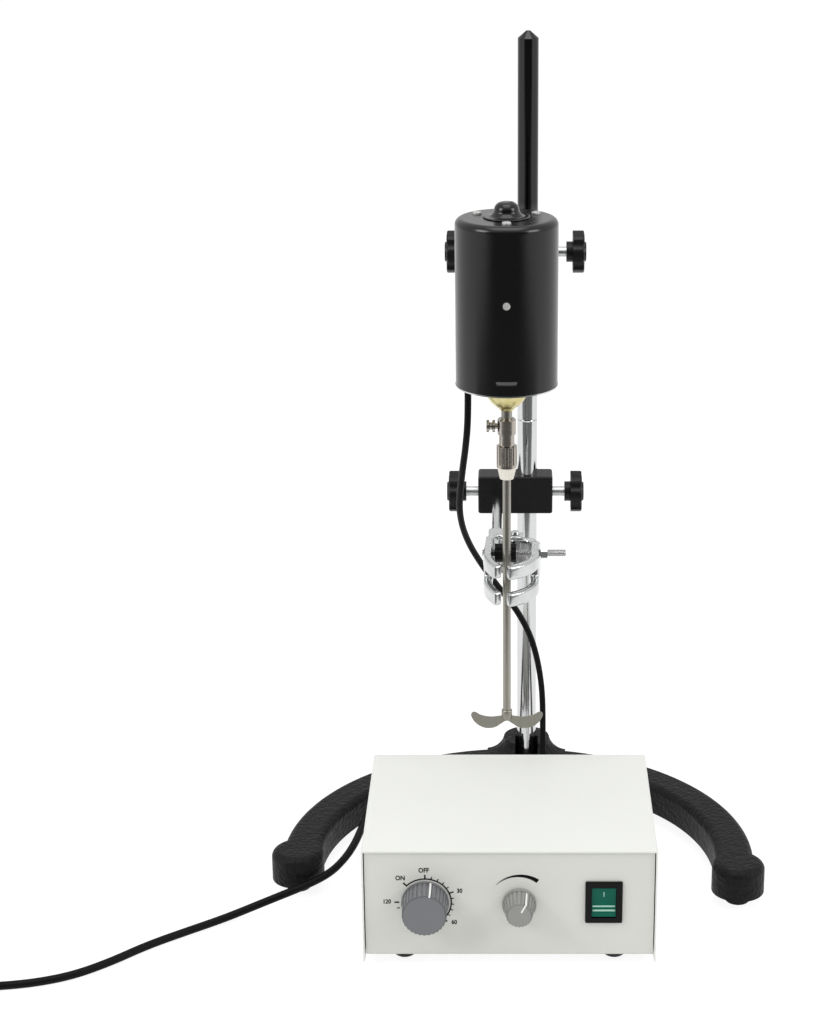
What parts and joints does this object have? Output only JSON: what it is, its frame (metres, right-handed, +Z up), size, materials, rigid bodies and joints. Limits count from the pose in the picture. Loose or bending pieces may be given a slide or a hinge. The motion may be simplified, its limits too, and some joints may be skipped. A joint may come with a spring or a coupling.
{
  "type": "overhead stirrer",
  "caption": "Bench overhead stirrer: a motor with a chuck and bladed stirring rod and a flask clamp on a horseshoe rod stand, with a separate speed controller box.",
  "frame": {"origin": "bench level, under the middle of the stand and controller as they stand together", "axes": "+Z up along the stand rod, -Y towards the user and the control panel, +X to the user's right"},
  "size_m": [0.6492, 0.4868, 0.63],
  "materials": {
    "cast_iron_black": "crinkle",
    "chrome": "polished",
    "black_gloss": "gloss",
    "black_plastic": "satin",
    "zinc": "bright",
    "yellow_zinc": "satin",
    "nickel": "satin",
    "stainless": "satin",
    "iron_core": "matt",
    "copper": "satin",
    "ivory": "satin",
    "case_white": "satin",
    "rubber": "matt",
    "grey_plastic": "satin",
    "light_grey_plastic": "satin",
    "green_plastic": "gloss",
    "cord_pvc": "satin",
    "board": "satin",
    "carbon": "matt"
  },
  "bodies": {
    "stand": {"base_casting": "cast_iron_black", "base_feet": "rubber", "lower_rod": "chrome", "upper_rod": "chrome", "case_tray": "case_white", "case_cover": "case_white", "case_feet": "rubber", "case_screws": "zinc", "timer_body": "black_plastic", "speed_pot": "zinc", "power_switch": "black_plastic", "transformer": "iron_core", "control_board": "board", "cord_glands": "black_plastic", "mains_lead": "cord_pvc", "mains_coil": "cord_pvc", "mains_tail": "cord_pvc", "plug_body": "black_plastic", "plug_pins": "nickel", "motor_lead_lower": "cord_pvc"},
    "motor_carriage": {"upper_boss": "cast_iron_black", "motor_arm": "chrome", "motor_bracket": "cast_iron_black", "motor_cap": "black_gloss", "top_dome": "black_gloss", "cover_screws": "zinc", "motor_flange": "yellow_zinc", "motor_base_plate": "zinc", "end_frame": "zinc", "stator_core": "iron_core", "field_coils": "copper", "motor_bearings": "nickel", "brush_holders": "carbon", "lead_grommet": "rubber", "motor_lead": "cord_pvc"},
    "upper_rod_screw": {"upper_rod_knob": "black_plastic"},
    "upper_arm_screw": {"upper_arm_knob": "black_plastic"},
    "spindle": {"armature_core": "iron_core", "commutator": "copper", "motor_shaft": "stainless", "chuck_body": "nickel", "stirring_rod": "stainless", "stirring_blade": "stainless"},
    "collar_thumb_screw": {"collar_screw": "nickel"},
    "collet_nut": {"chuck_nut": "nickel", "chuck_nozzle": "ivory"},
    "clamp_carriage": {"lower_boss": "cast_iron_black"},
    "lower_rod_screw": {"lower_rod_knob": "black_plastic"},
    "lower_arm_screw": {"lower_arm_knob": "black_plastic"},
    "flask_clamp": {"clamp_rod": "zinc", "clamp_fixed_jaw": "zinc", "clamp_pin": "zinc"},
    "moving_jaw": {"clamp_moving_jaw": "zinc"},
    "clamp_screw": {"clamp_stud": "zinc", "clamp_wheel": "black_plastic"},
    "screw_nut": {"clamp_nut": "zinc"},
    "timer_dial": {"timer_knob": "grey_plastic"},
    "speed_dial": {"speed_knob": "light_grey_plastic"},
    "rocker": {"power_rocker": "green_plastic"}
  },
  "joints": [
    {"name": "motor_height", "type": "slide", "parent": "stand", "child": "motor_carriage", "axis": [0, 0, 1], "range_m": [-0.03, 0.07], "deforming": ["motor_lead"]},
    {"name": "upper_rod_knob_turn", "type": "hinge", "parent": "motor_carriage", "child": "upper_rod_screw", "pos_m": [0.029, 0.1498, 0.46], "axis": [1, 0, 0], "range_deg": [0, 360]},
    {"name": "upper_arm_knob_turn", "type": "hinge", "parent": "motor_carriage", "child": "upper_arm_screw", "pos_m": [-0.031, 0.1498, 0.46], "axis": [1, 0, 0], "range_deg": [0, 360]},
    {"name": "spindle_spin", "type": "hinge", "parent": "motor_carriage", "child": "spindle", "pos_m": [-0.00765, -0.0192, 0.4], "axis": [0, 0, 1], "continuous": true},
    {"name": "collar_screw_turn", "type": "hinge", "parent": "spindle", "child": "collar_thumb_screw", "pos_m": [-0.00765, -0.0192, 0.3687], "axis": [1, 0, 0], "range_deg": [0, 360]},
    {"name": "chuck_nut_turn", "type": "hinge", "parent": "spindle", "child": "collet_nut", "pos_m": [-0.00765, -0.0192, 0.346], "axis": [0, 0, 1], "range_deg": [0, 180]},
    {"name": "clamp_height", "type": "slide", "parent": "stand", "child": "clamp_carriage", "axis": [0, 0, 1], "range_m": [-0.035, 0.03]},
    {"name": "lower_rod_knob_turn", "type": "hinge", "parent": "clamp_carriage", "child": "lower_rod_screw", "pos_m": [0.029, 0.1498, 0.26265], "axis": [1, 0, 0], "range_deg": [0, 360]},
    {"name": "lower_arm_knob_turn", "type": "hinge", "parent": "clamp_carriage", "child": "lower_arm_screw", "pos_m": [-0.031, 0.1498, 0.26265], "axis": [1, 0, 0], "range_deg": [0, 360]},
    {"name": "clamp_reach", "type": "slide", "parent": "clamp_carriage", "child": "flask_clamp", "axis": [0, 1, 0], "range_m": [-0.012, 0.008]},
    {"name": "clamp_wheel_turn", "type": "hinge", "parent": "flask_clamp", "child": "clamp_screw", "pos_m": [-0.0087, 0.0058, 0.262], "axis": [1, 0, 0], "range_deg": [0, 2591]},
    {"name": "jaw_opening", "type": "hinge", "parent": "flask_clamp", "child": "moving_jaw", "pos_m": [-0.0015, 0.0318, 0.252], "axis": [0, 0, 1], "range_deg": [0, 10.01]},
    {"name": "nut_travel", "type": "slide", "parent": "flask_clamp", "child": "screw_nut", "axis": [1, 0, 0], "range_m": [0, 0.00576]},
    {"name": "timer_turn", "type": "hinge", "parent": "stand", "child": "timer_dial", "pos_m": [-0.0658, -0.1467, 0.0524], "axis": [0, 1, 0], "range_deg": [-45, 270]},
    {"name": "speed_turn", "type": "hinge", "parent": "stand", "child": "speed_dial", "pos_m": [0.0013, -0.1467, 0.0515], "axis": [0, 1, 0], "range_deg": [-180, 120]},
    {"name": "power_rocker_tilt", "type": "hinge", "parent": "stand", "child": "rocker", "pos_m": [0.0617, -0.1437, 0.0527], "axis": [1, 0, 0], "range_deg": [0, 16]}
  ],
  "couplings": [
    {"joint": "clamp_wheel_turn", "follows": "jaw_opening", "ratio": 258.8},
    {"joint": "nut_travel", "follows": "jaw_opening", "m_per_rad": 0.032951}
  ]
}
